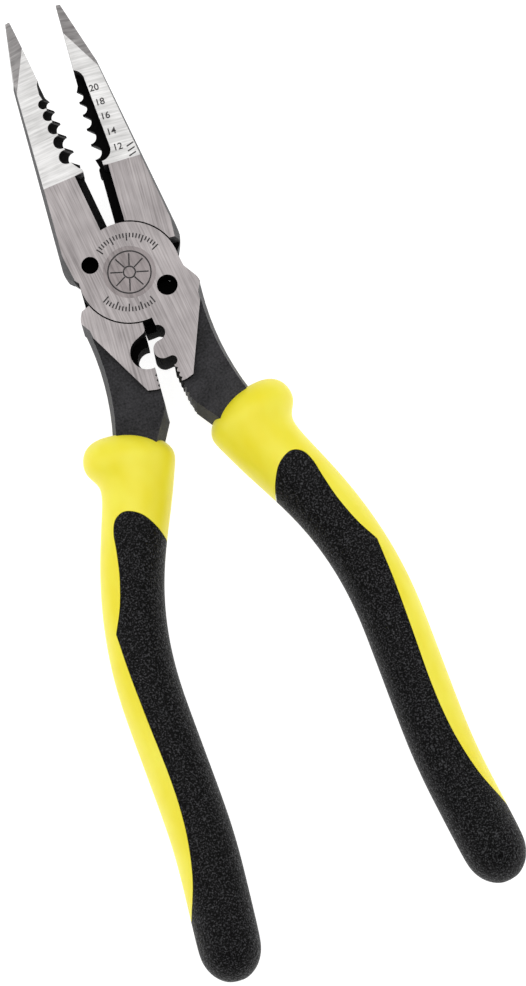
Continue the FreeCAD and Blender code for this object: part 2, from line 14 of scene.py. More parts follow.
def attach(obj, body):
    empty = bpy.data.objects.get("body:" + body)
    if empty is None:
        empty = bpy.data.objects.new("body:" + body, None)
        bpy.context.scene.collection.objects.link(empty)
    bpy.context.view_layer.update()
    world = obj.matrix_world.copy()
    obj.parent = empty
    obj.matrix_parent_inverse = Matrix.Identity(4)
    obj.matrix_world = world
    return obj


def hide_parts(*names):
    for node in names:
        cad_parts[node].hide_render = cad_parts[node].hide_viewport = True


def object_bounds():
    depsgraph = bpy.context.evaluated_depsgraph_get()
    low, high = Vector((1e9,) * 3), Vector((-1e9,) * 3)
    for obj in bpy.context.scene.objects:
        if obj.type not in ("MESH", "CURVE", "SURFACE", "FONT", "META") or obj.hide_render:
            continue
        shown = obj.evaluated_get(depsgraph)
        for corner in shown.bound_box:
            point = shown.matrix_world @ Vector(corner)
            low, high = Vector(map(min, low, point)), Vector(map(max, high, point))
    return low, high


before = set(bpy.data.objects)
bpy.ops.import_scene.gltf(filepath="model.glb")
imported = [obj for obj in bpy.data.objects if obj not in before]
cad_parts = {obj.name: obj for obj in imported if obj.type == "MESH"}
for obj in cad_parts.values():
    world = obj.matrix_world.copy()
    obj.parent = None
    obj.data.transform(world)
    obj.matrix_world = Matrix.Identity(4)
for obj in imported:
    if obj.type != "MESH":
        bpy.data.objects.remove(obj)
CAD_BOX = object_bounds()
MM = 0.001
SMOOTH_BELOW = math.radians(40)
log = logging.getLogger("pliers")
Point = tuple[float, float]


class Side(Enum):
    """The half a piece belongs to, named for where its handle is, seen from the front."""

    RIGHT = 1.0
    LEFT = -1.0

    @property
    def body(self) -> str:
        """Name of the moving body this half is part of."""
        return "front" if self is Side.RIGHT else "rear"

    @property
    def word(self) -> str:
        """Word used in piece names."""
        return self.name.lower()


class Steel(Enum):
    """The surfaces that forging, grinding and blackening leave on a half, and the cut-outs, whose
    black oxide is painted darker as shade.
    """

    BLACK = 0
    JOINT = 1
    NOSE = 2
    FACET = 3
    GRIPPING = 4
    # black oxide painted nearly black as shade in the cut-outs
    CUT = 5


@dataclass(frozen=True)
class HalfPose:
    """How one half stands: drawn closed with its handle at +X, then opened about the pivot.

    Attributes:
        side: the half.
        opening: degrees that it is turned open at rest.
    """

    side: Side
    opening: float = 4.9

    @property
    def turn(self) -> float:
        """Turn about +Z at rest, in degrees."""
        return self.opening * self.side.value

    def world(self, x: float, y: float, z: float) -> Vector:
        """Point of the closed drawing, handle at +X, in millimetres.

        Args:
            x: across, towards the handle's side.
            y: towards the nose.
            z: height above the rear joint face.

        Returns:
            The point in metres, at rest.
        """
        point = Vector((x * self.side.value, y, z)) * MM
        return Matrix.Rotation(math.radians(self.turn), 3, "Z") @ point

    def drawn(self, point: Vector) -> Vector:
        """A world point or direction back in the closed drawing, in its own units."""
        back = Matrix.Rotation(math.radians(-self.turn), 3, "Z") @ point
        return Vector((back.x * self.side.value, back.y, back.z))


# ---------------------------------------------------------------- shared helpers
def linear(code: str) -> tuple[float, float, float, float]:
    """Turn an sRGB hex colour into the linear colour that shaders take.

    Args:
        code: six hex digits after a hash.

    Returns:
        Red, green, blue and an alpha of one.
    """
    values = [int(code[i:i + 2], 16) / 255 for i in (1, 3, 5)]
    steps = [v / 12.92 if v <= 0.04045 else ((v + 0.055) / 1.055) ** 2.4 for v in values]
    return (*steps, 1.0)


def add_node(tree: bpy.types.NodeTree, kind: str, settings: dict[str, Any] | None = None,
             inputs: dict[str | int, Any] | None = None) -> bpy.types.Node:
    """Add one shader node with its settings, and fill or link its sockets.

    Args:
        tree: the node tree.
        kind: the node's type name.
        settings: properties to set on the node.
        inputs: sockets by name or index; a socket is linked, anything else is a value.

    Returns:
        The new node.
    """
    node = tree.nodes.new(kind)
    for name, value in (settings or {}).items():
        setattr(node, name, value)
    for key, value in (inputs or {}).items():
        if isinstance(value, bpy.types.NodeSocket):
            tree.links.new(value, node.inputs[key])
        else:
            node.inputs[key].default_value = value
    return node


def new_material(name: str) -> tuple[bpy.types.Material, bpy.types.NodeTree, bpy.types.Node]:
    """Start a node material.

    Args:
        name: the finish's name.

    Returns:
        The material, its tree and its Principled shader.
    """
    material = bpy.data.materials.new(name)
    material.use_nodes = True
    tree = material.node_tree
    return material, tree, tree.nodes["Principled BSDF"]


def grain(tree: bpy.types.NodeTree, size: tuple[float, float, float], turn: float,
          detail: float) -> bpy.types.Node:
    """Noise whose grains have a real size, in millimetres, along the turned X, Y and Z.

    Args:
        tree: the node tree.
        size: grain size along each axis.
        turn: degrees that the axes are turned about +Z.
        detail: octaves of finer noise.

    Returns:
        The noise node.
    """
    place = add_node(tree, "ShaderNodeTexCoord")
    scaled = add_node(tree, "ShaderNodeMapping", {"vector_type": "TEXTURE"}, {
        "Vector": place.outputs["Object"],
        "Rotation": (0.0, 0.0, math.radians(turn)),
        "Scale": tuple(s * MM for s in size),
    })
    return add_node(tree, "ShaderNodeTexNoise", None, {
        "Vector": scaled.outputs["Vector"], "Scale": 1.0, "Detail": detail, "Roughness": 0.6})


def blend_colours(tree: bpy.types.NodeTree, factor: bpy.types.NodeSocket,
                  stops: Iterable[tuple[float, str]]) -> bpy.types.Node:
    """Ramp from one hex colour to the next as a factor rises.

    Args:
        tree: the node tree.
        factor: socket that drives the ramp.
        stops: positions and colours, in order.

    Returns:
        The ramp node.
    """
    ramp = add_node(tree, "ShaderNodeValToRGB", None, {"Fac": factor})
    elements = ramp.color_ramp.elements
    for index, (position, code) in enumerate(stops):
        element = elements[index] if index < 2 else elements.new(position)
        element.position = position
        element.color = linear(code)
    return ramp


def raise_surface(tree: bpy.types.NodeTree, height: bpy.types.NodeSocket, depth_mm: float,
                  strength: float) -> bpy.types.Node:
    """Bump of a real depth, in millimetres.

    Args:
        tree: the node tree.
        height: socket with the height pattern.
        depth_mm: depth of the relief.
        strength: how much of it shows.

    Returns:
        The bump node.
    """
    return add_node(tree, "ShaderNodeBump", None, {
        "Height": height, "Distance": depth_mm * MM, "Strength": strength})


def deselect() -> None:
    """Deselect every object, so that an operator acts on what comes next."""
    bpy.ops.object.select_all(action="DESELECT")


def pick(piece: bpy.types.Object) -> None:
    """Make one object the only selected one, and the active one.

    Args:
        piece: the object to work on next.
    """
    deselect()
    piece.select_set(True)
    bpy.context.view_layer.objects.active = piece


def settle(piece: bpy.types.Object, name: str, material: bpy.types.Material) -> None:
    """Apply a piece's place, name it and dress it.

    Args:
        piece: the finished object.
        name: its piece name.
        material: its finish.
    """
    pick(piece)
    bpy.ops.object.transform_apply(location=True, rotation=True, scale=True)
    piece.name = name
    piece.data.name = name
    piece.data.materials.clear()
    piece.data.materials.append(material)


def apply_modifier(piece: bpy.types.Object, kind: str, **settings: Any) -> None:
    """Add a modifier with its settings and apply it.

    Args:
        piece: the object.
        kind: the modifier's type.
        settings: its properties.
    """
    pick(piece)
    modifier = piece.modifiers.new(kind.title(), kind)
    for name, value in settings.items():
        setattr(modifier, name, value)
    bpy.ops.object.modifier_apply(modifier=modifier.name)


def copy_piece(piece: bpy.types.Object) -> bpy.types.Object:
    """Copy an object with a mesh of its own.

    Args:
        piece: the object to copy.

    Returns:
        The copy, which becomes the active object.
    """
    pick(piece)
    bpy.ops.object.duplicate(linked=False)
    return bpy.context.active_object


def etch_together(parts: list[bpy.types.Object], name: str, body: str) -> None:
    """Join separate strokes into one etched mark that moves with a body.

    Args:
        parts: the strokes, rings and digits.
        name: name of the finished mark.
        body: the body that it rides on.
    """
    deselect()
    for part in parts:
        part.select_set(True)
    bpy.context.view_layer.objects.active = parts[0]
    bpy.ops.object.join()
    marks = bpy.context.active_object
    settle(marks, name, StampInk().material())
    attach(marks, body)
    log.info("%s: %d strokes, rings and digits", marks.name, len(parts))


# ---------------------------------------------------------------- finishes
@dataclass(frozen=True)
class GroundSteel:
    """Tool steel ground on a belt: pale metal with fine parallel scratches.

    Attributes:
        name: the finish's name.
        low: colour in the scratches.
        high: colour between them.
        across: scratch spacing along X and Y, in millimetres; the long one is the scratch's run.
        roughness: lowest roughness.
    """

    name: str
    low: str
    high: str
    across: Point
    roughness: float

    def material(self, turn: float) -> bpy.types.Material:
        """Make the material.

        Args:
            turn: degrees that the half is turned, which the scratches follow.

        Returns:
            The material.
        """
        material, tree, shader = new_material(self.name)
        # scratches are drawn several times wider than real grit leaves, so that they show
        scratches = grain(tree, (*self.across, 3.0), turn, 4.0)
        cloud = grain(tree, (7.0, 9.0, 5.0), turn, 2.0)
        both = add_node(tree, "ShaderNodeMath", {"operation": "MULTIPLY_ADD"}, {
            0: cloud.outputs["Fac"], 1: 0.45, 2: scratches.outputs["Fac"]})
        colour = blend_colours(tree, both.outputs[0], [(0.5, self.low), (0.95, self.high)])
        sheen = add_node(tree, "ShaderNodeMapRange", None, {
            "Value": scratches.outputs["Fac"], "From Min": 0.3, "From Max": 0.7,
            "To Min": self.roughness, "To Max": self.roughness + 0.12})
        relief = raise_surface(tree, scratches.outputs["Fac"], 0.02, 0.35)
        shader.inputs["Metallic"].default_value = 0.9
        tree.links.new(colour.outputs["Color"], shader.inputs["Base Color"])
        tree.links.new(sheen.outputs["Result"], shader.inputs["Roughness"])
        tree.links.new(relief.outputs["Normal"], shader.inputs["Normal"])
        return material


@dataclass(frozen=True)
class BlackOxide:
    """Forged steel after hot blackening: a matt, nearly black skin with a forged grain.

    Attributes:
        name: the finish's name.
        low: colour in the pits.
        high: colour of the rubbed high spots.
        shine: specular level.
        roughness: roughness all over.
    """

    name: str = "black_oxide_forging"
    low: str = "#0d0d0e"
    high: str = "#39383b"
    shine: float = 0.16
    roughness: float = 0.52

    def material(self, turn: float) -> bpy.types.Material:
        """Make the material.

        Args:
            turn: degrees that the half is turned, which the grain follows.

        Returns:
            The material.
        """
        material, tree, shader = new_material(self.name)
        scale = grain(tree, (0.45, 0.45, 0.45), turn, 5.0)
        cloud = grain(tree, (6.0, 6.0, 6.0), turn, 3.0)
        both = add_node(tree, "ShaderNodeMath", {"operation": "MULTIPLY_ADD"}, {
            0: cloud.outputs["Fac"], 1: 0.6, 2: scale.outputs["Fac"]})
        colour = blend_colours(tree, both.outputs[0], [(0.6, self.low), (1.0, self.high)])
        relief = raise_surface(tree, scale.outputs["Fac"], 0.05, 0.6)
        shader.inputs["Specular IOR Level"].default_value = self.shine
        shader.inputs["Roughness"].default_value = self.roughness
        tree.links.new(colour.outputs["Color"], shader.inputs["Base Color"])
        tree.links.new(relief.outputs["Normal"], shader.inputs["Normal"])
        return material


@dataclass(frozen=True)
class SerratedSteel:
    """Gripping face of the nose: bright steel milled with fine crosswise teeth, with shade painted
    between them.

    Attributes:
        name: the finish's name.
        low: painted shade between the teeth.
        high: colour of their crests.
        pitch: tooth spacing in millimetres.
    """

    name: str = "serrated_steel"
    low: str = "#4a4848"
    high: str = "#9c9a99"
    pitch: float = 0.8

    def material(self, turn: float) -> bpy.types.Material:
        """Make the material.

        Args:
            turn: degrees that the half is turned, which the teeth follow.

        Returns:
            The material.
        """
        material, tree, shader = new_material(self.name)
        place = add_node(tree, "ShaderNodeTexCoord")
        turned = add_node(tree, "ShaderNodeMapping", {"vector_type": "TEXTURE"}, {
            "Vector": place.outputs["Object"], "Rotation": (0.0, 0.0, math.radians(turn))})
        # a band texture of scale 1 has one band every 0.314 units
        teeth = add_node(tree, "ShaderNodeTexWave", {"bands_direction": "Y"}, {
            "Vector": turned.outputs["Vector"], "Scale": 0.314 / (self.pitch * MM)})
        # painted shade: the grooves between the teeth are coloured darker than their crests
        colour = blend_colours(tree, teeth.outputs["Fac"], [(0.0, self.low), (0.6, self.high)])
        relief = raise_surface(tree, teeth.outputs["Fac"], 0.2, 0.8)
        shader.inputs["Metallic"].default_value = 0.9
        shader.inputs["Roughness"].default_value = 0.35
        tree.links.new(colour.outputs["Color"], shader.inputs["Base Color"])
        tree.links.new(relief.outputs["Normal"], shader.inputs["Normal"])
        return material


@dataclass(frozen=True)
class StampInk:
    """Laser-etched mark: a dark, dry line whose grey varies along it.

    Attributes:
        name: the finish's name.
        low: darkest colour.
        high: palest colour.
    """

    name: str = "etched_mark"
    low: str = "#1d1b1c"
    high: str = "#3a3738"

    def material(self) -> bpy.types.Material:
        """Make the material."""
        material, tree, shader = new_material(self.name)
        speck = grain(tree, (0.25, 0.25, 0.25), 0.0, 3.0)
        colour = blend_colours(tree, speck.outputs["Fac"], [(0.35, self.low), (0.75, self.high)])
        shader.inputs["Roughness"].default_value = 0.7
        tree.links.new(colour.outputs["Color"], shader.inputs["Base Color"])
        return material


@dataclass(frozen=True)
class HardGripPlastic:
    """Yellow injection-moulded elastomer: smooth, satin, slightly translucent.

    Attributes:
        name: the finish's name.
        low: deeper yellow of the cloudy variation.
        high: paler yellow.
    """

    name: str = "yellow_moulded_elastomer"
    low: str = "#f7e71f"
    high: str = "#fdf24a"

    def material(self) -> bpy.types.Material:
        """Make the material."""
        material, tree, shader = new_material(self.name)
        cloud = grain(tree, (9.0, 14.0, 9.0), 0.0, 2.0)
        skin = grain(tree, (0.35, 0.35, 0.35), 0.0, 3.0)
        colour = blend_colours(tree, cloud.outputs["Fac"], [(0.3, self.low), (0.7, self.high)])
        relief = raise_surface(tree, skin.outputs["Fac"], 0.02, 0.3)
        shader.inputs["Roughness"].default_value = 0.42
        shader.inputs["IOR"].default_value = 1.5
        shader.inputs["Subsurface Weight"].default_value = 0.12
        shader.inputs["Subsurface Radius"].default_value = (0.002, 0.0016, 0.0004)
        tree.links.new(colour.outputs["Color"], shader.inputs["Base Color"])
        tree.links.new(relief.outputs["Normal"], shader.inputs["Normal"])
        return material


@dataclass(frozen=True)
class SoftGripRubber:
    """Black thermoplastic rubber from a spark-eroded mould: fine pebble grain, with its dull
    sparkle painted as pale specks.

    Attributes:
        name: the finish's name.
        low: colour between the specks.
        high: painted glint colour of the grain's specks.
        pebble: size of one pebble in millimetres.
    """

    name: str = "black_grained_rubber"
    low: str = "#000000"
    high: str = "#454547"
    pebble: float = 0.5

    def material(self) -> bpy.types.Material:
        """Make the material."""
        material, tree, shader = new_material(self.name)
        place = add_node(tree, "ShaderNodeTexCoord")
        cells = add_node(tree, "ShaderNodeTexVoronoi", {"feature": "F1"}, {
            "Vector": place.outputs["Object"], "Scale": 1.0 / (self.pebble * MM),
            "Randomness": 0.9})
        speck = grain(tree, (0.36, 0.36, 0.36), 0.0, 1.5)
        # the specks are bumps of the grain too, and their pale colour is painted glint
        colour = blend_colours(tree, speck.outputs["Fac"], [(0.5, self.low), (0.7, self.high)])
        height = add_node(tree, "ShaderNodeMath", {"operation": "ADD"}, {
            0: cells.outputs["Distance"], 1: speck.outputs["Fac"]})
        relief = raise_surface(tree, height.outputs[0], 0.14, 0.9)
        gloss = add_node(tree, "ShaderNodeMapRange", None, {
            "Value": speck.outputs["Fac"], "From Min": 0.35, "From Max": 0.7,
            "To Min": 0.6, "To Max": 0.34})
        shader.inputs["Specular IOR Level"].default_value = 0.1
        tree.links.new(colour.outputs["Color"], shader.inputs["Base Color"])
        tree.links.new(gloss.outputs["Result"], shader.inputs["Roughness"])
        tree.links.new(relief.outputs["Normal"], shader.inputs["Normal"])
        return material


# ---------------------------------------------------------------- steel
# a face's normal, as a share of one: lying flat, sloping as a facet, facing the other jaw
FLAT = 0.985
SLOPING = 0.86
FACING = 0.9
INWARD = 0.2
# how near to the lap level a face counts as its shelf, in millimetres
SHELF = 0.5


@dataclass
class ForgedHalf:
    """One forged half, kept from the design model and dressed face by face.

    Attributes:
        pose: where the half stands.
        node: its node's name.
        nose_start: height above the pivot where the nose's ground faces begin.
        facet_start: height above which a slightly sloping face is a tip facet.
        bright_flank: height above which the outer flank is ground as well.
        blade_top: top of the stripping blades.
        joint_faces: thickness levels that the joint's ground faces lie outside of.
        nose_faces: the same for the tapered nose.
        middle: level where the two halves lap.
        disc_reach: radius that holds the lap recess and the holes.
        crimper: across and height that bound the crimper's cuts.
    """

    pose: HalfPose
    node: str
    nose_start: float = 23.9
    facet_start: float = 44.0
    bright_flank: float = 48.4
    blade_top: float = 46.6
    joint_faces: Point = (0.2, 12.3)
    nose_faces: Point = (3.7, 8.8)
    middle: float = 6.25
    disc_reach: float = 11.3
    crimper: Point = (5.5, -27.0)

    def surface(self, centre: Vector, normal: Vector) -> Steel:
        """Tell how a face was finished, or that it is a cut-out painted with shade, from its place
        and its normal in the closed drawing.

        Args:
            centre: the face's centre in millimetres.
            normal: its outward normal.

        Returns:
            The finish.
        """
        level = abs(normal.z)
        on_nose = centre.y >= self.nose_start
        low, high = self.nose_faces if on_nose else self.joint_faces
        if level > FLAT and not low < centre.z < high:
            return Steel.NOSE if on_nose else Steel.JOINT
        if SLOPING < level <= FLAT and centre.y > self.facet_start:
            return Steel.FACET
        if normal.x > FACING and centre.y > self.blade_top:
            return Steel.GRIPPING
        if centre.y > self.bright_flank:
            return Steel.FACET
        return Steel.CUT if self.in_shaded_cut(centre, normal) else Steel.BLACK

    def in_shaded_cut(self, centre: Vector, normal: Vector) -> bool:
        """Tell whether a face lies in a cut-out (shelf, blade bevel, notch, hole or crimper),
        which is painted darker as shade.

        Args:
            centre: the face's centre in millimetres, in the closed drawing.
            normal: its outward normal.

        Returns:
            True in a cut-out.
        """
        if abs(normal.z) > FLAT:
            return abs(centre.z - self.middle) < SHELF
        if math.hypot(centre.x, centre.y) < self.disc_reach:
            return True
        if centre.y > 0.0:
            return normal.x > INWARD
        reach, bottom = self.crimper
        return centre.x < reach and centre.y > bottom

    def dress(self) -> None:
        """Give every face of the half the finish its process left on it, and paint the cut-outs
        darker as shade.
        """
        turn = self.pose.turn
        finishes = {
            Steel.BLACK: BlackOxide().material(turn),
            Steel.JOINT: GroundSteel("joint_ground_steel", "#746f6f", "#ada7a7", (0.4, 14.0), 0.36)
            .material(turn),
            Steel.NOSE: GroundSteel("nose_ground_steel", "#a5a4a3", "#dddcdb", (9.0, 0.6), 0.34)
            .material(turn),
            Steel.FACET: GroundSteel("facet_ground_steel", "#938f8f", "#ccc9c8", (6.0, 0.5), 0.34)
            .material(turn),
            Steel.GRIPPING: SerratedSteel().material(turn),
            # painted shade: the black oxide of the cut-outs is darkened as if in shadow
            Steel.CUT: BlackOxide("painted_shade_cut_out", "#040404", "#0f0e0f", 0.05, 0.8)
            .material(turn),
        }
        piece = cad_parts[self.node]
        piece.data.materials.clear()
        for kind in Steel:
            piece.data.materials.append(finishes[kind])
        for face in piece.data.polygons:
            centre = self.pose.drawn(Vector(face.center)) / MM
            normal = self.pose.drawn(Vector(face.normal))
            face.material_index = self.surface(centre, normal).value
        log.info("%s dressed with %d finishes", self.node, len(finishes))


@dataclass
class PivotRivet:
    """The flush rivet: its head is ground with the joint and a shade darker.

    Attributes:
        node: its node's name.
    """

    node: str = "pivot_rivet"

    def dress(self) -> None:
        """Dress the rivet."""
        finish = GroundSteel("rivet_ground_steel", "#6b6565", "#9a9292", (0.8, 10.0), 0.38)
        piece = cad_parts[self.node]
        piece.data.materials.clear()
        piece.data.materials.append(finish.material(HalfPose(Side.RIGHT).turn))
        log.info("%s dressed", self.node)


@dataclass
class JointMarks:
    """Plain etched marks on the joint: a graduated scale about the pivot and rings on the rivet.

    Attributes:
        pose: where the front half stands.
        face: height of the joint's front face, in millimetres.
        line: width of an etched line.
        film: how far a mark stands off the face.
        rings: inner radii of the rings on the rivet.
        spoke: radius of the middle and length of each of the rivet's eight strokes.
        scale_radius: outer radius of the graduated arcs.
        tick: length of a short stroke, and of a long one.
        arcs: for each arc its first angle, its number of strokes and strokes per long one.
    """

    pose: HalfPose
    face: float = 12.5
    line: float = 0.3
    film: float = 0.02
    rings: Point = (4.4, 1.1)
    spoke: Point = (2.75, 2.6)
    scale_radius: float = 8.5
    tick: Point = (1.0, 1.7)
    arcs: tuple[tuple[int, int, int], ...] = ((20, 21, 5), (205, 17, 4))

    def stroke(self, radius: float, length: float, angle: float) -> bpy.types.Object:
        """Etch one radial stroke.

        Args:
            radius: distance of its middle from the pivot.
            length: its length.
            angle: its direction about the pivot, in the closed drawing.

        Returns:
            The stroke.
        """
        deselect()
        direction = math.radians(angle + self.pose.turn)
        place = (radius * math.cos(direction) * MM, radius * math.sin(direction) * MM,
                 self.face * MM)
        bpy.ops.mesh.primitive_cube_add(size=MM, location=place, rotation=(0, 0, direction))
        piece = bpy.context.active_object
        piece.scale = (length, self.line, 2 * self.film)
        bpy.ops.object.transform_apply(location=True, rotation=True, scale=True)
        apply_modifier(piece, "BEVEL", width=self.film * 0.8 * MM, segments=1)
        return piece

    def ring(self, radius: float) -> bpy.types.Object:
        """Etch one ring about the pivot: a circle extruded outwards into a flat band.

        Args:
            radius: its inner radius.

        Returns:
            The ring.
        """
        deselect()
        bpy.ops.mesh.primitive_circle_add(vertices=72, radius=radius * MM,
                                          location=(0, 0, (self.face + self.film) * MM))
        piece = bpy.context.active_object
        bpy.ops.object.mode_set(mode="EDIT")
        bpy.ops.mesh.select_all(action="SELECT")
        bpy.ops.mesh.extrude_edges_move()
        grow = (radius + self.line) / radius
        bpy.ops.transform.resize(value=(grow, grow, 1.0), center_override=(0, 0, self.face * MM))
        bpy.ops.mesh.select_all(action="SELECT")
        bpy.ops.mesh.normals_make_consistent(inside=False)
        bpy.ops.object.mode_set(mode="OBJECT")
        apply_modifier(piece, "SOLIDIFY", thickness=2 * self.film * MM, offset=0.0)
        return piece

    def build(self) -> None:
        """Etch the scale and the rings and join them into one mark."""
        parts = [self.ring(radius) for radius in self.rings]
        parts += [self.stroke(*self.spoke, 22.5 + 45 * step) for step in range(8)]
        short, long = self.tick
        for start, count, every in self.arcs:
            for step in range(count):
                length = short if step % every else long
                parts.append(
                    self.stroke(self.scale_radius - length / 2, length, start + 5 * step))
        etch_together(parts, "joint_scale_marks", self.pose.side.body)


@dataclass
class GaugeMarks:
    """Wire gauge numbers beside the stripping notches, and a small stranded-wire sign.

    Attributes:
        pose: where the rear half stands, whose jaw is the one on the right.
        numbers: text, across and height of each number's middle, in millimetres.
        strands: height of each stroke of the stranded-wire sign.
        strand_x: how far across its strokes are.
        stroke: length and width of one of its strokes.
        strand_turn: slant of the strokes, in radians.
        size: height of the digits' font.
        bold: how far the digits' outlines are moved outwards.
        film: how far a mark stands off the face.
        face_start: height above the pivot where the tapered face begins.
        face_height: its level there.
        taper: its slope in degrees.
    """

    pose: HalfPose
    numbers: tuple[tuple[str, float, float], ...] = (
        ("20", 3.2, 41.1), ("18", 3.6, 37.7), ("16", 3.9, 34.4), ("14", 4.25, 30.7),
        ("12", 4.7, 27.0))
    strands: tuple[float, ...] = (24.7, 25.8, 26.9)
    strand_x: float = 7.35
    stroke: Point = (1.7, 0.3)
    strand_turn: float = 0.35
    size: float = 2.1
    bold: float = 0.03
    film: float = 0.02
    face_start: float = 24.0
    face_height: float = 12.15
    taper: float = 4.0

    def on_face(self, x: float, y: float) -> Matrix:
        """Place on the tapered nose face.

        Args:
            x: across the closed jaw.
            y: height above the pivot.

        Returns:
            The matrix that lays a mark there.
        """
        slope = math.radians(self.taper)
        height = self.face_height - (y - self.face_start) * math.tan(slope)
        turn = Matrix.Rotation(math.radians(self.pose.turn), 4, "Z")
        place = Matrix.Translation(Vector((x, y, height)) * MM)
        return turn @ place @ Matrix.Rotation(-slope, 4, "X")

    def number(self, text: str, x: float, y: float) -> bpy.types.Object:
        """Etch one number.

        Args:
            text: its digits.
            x: across the closed jaw.
            y: height above the pivot.

        Returns:
            The number as a mesh.
        """
        deselect()
        bpy.ops.object.text_add()
        piece = bpy.context.active_object
        piece.data.body = text
        piece.data.size = self.size * MM
        piece.data.align_x = "CENTER"
        piece.data.align_y = "CENTER"
        piece.data.extrude = self.film * MM
        piece.data.offset = self.bold * MM
        bpy.ops.object.convert(target="MESH")
        piece = bpy.context.active_object
        piece.matrix_world = self.on_face(x, y)
        bpy.ops.object.transform_apply(location=True, rotation=True, scale=True)
        return piece

    def strand(self, y: float) -> bpy.types.Object:
        """Etch one short stroke of the stranded-wire sign.

        Args:
            y: height above the pivot.

        Returns:
            The stroke.
        """
        deselect()
        bpy.ops.mesh.primitive_cube_add(size=MM)
        piece = bpy.context.active_object
        piece.scale = (*self.stroke, 2 * self.film)
        bpy.ops.object.transform_apply(location=False, rotation=False, scale=True)
        slant = Matrix.Rotation(self.strand_turn, 4, "Z")
        piece.matrix_world = self.on_face(self.strand_x, y) @ slant
        bpy.ops.object.transform_apply(location=True, rotation=True, scale=True)
        apply_modifier(piece, "BEVEL", width=self.film * 0.8 * MM, segments=1)
        return piece

    def build(self) -> None:
        """Etch the numbers and the sign and join them into one mark."""
        parts = [self.number(*row) for row in self.numbers]
        parts += [self.strand(y) for y in self.strands]
        etch_together(parts, "gauge_marks", self.pose.side.body)


# ---------------------------------------------------------------- grips
@dataclass(frozen=True)
class Ring:
    """One oval cross-section of the grip, in the closed drawing, in millimetres."""

    x: float
    y: float
    heading: float
    half_width: float
    half_depth: float


@dataclass(frozen=True)
class HandleRoute:
    """Centre line of the handle: straight runs and bends below the guard.

    Attributes:
        start: where it begins, in the closed drawing, in millimetres.
        lean: heading there, in degrees outwards from -Y.
        runs: length of each run, and the degrees that it bends by.
        bend_steps: short straight steps that a bend is worked out in.
    """

    start: Point = (8.8, -40.0)
    lean: float = 20.0
    runs: tuple[Point, ...] = ((16.0, 0.0), (35.78, -25.0), (22.0, 0.0), (14.66, 7.0), (14.7, 0.0))
    bend_steps: int = 24

    @property
    def length(self) -> float:
        """Length up to the rounded end."""
        return sum(length for length, _ in self.runs)

    def station(self, distance: float) -> tuple[float, float, float]:
        """Place and heading on the centre line.

        Args:
            distance: how far down the route; past its end the line runs straight on.

        Returns:
            Across, height and heading; heading 0 runs along -Y and grows outwards.
        """
        x, y = self.start
        heading = self.lean
        left = distance
        for length, turn in self.runs:
            part = min(left, length)
            steps = self.bend_steps if turn else 1
            for _ in range(steps):
                middle = math.radians(heading + turn * part / length / steps / 2)
                x += part / steps * math.sin(middle)
                y -= part / steps * math.cos(middle)
                heading += turn * part / length / steps
            left -= part
            if left <= 0:
                break
        angle = math.radians(heading)
        return x + max(left, 0.0) * math.sin(angle), y - max(left, 0.0) * math.cos(angle), heading


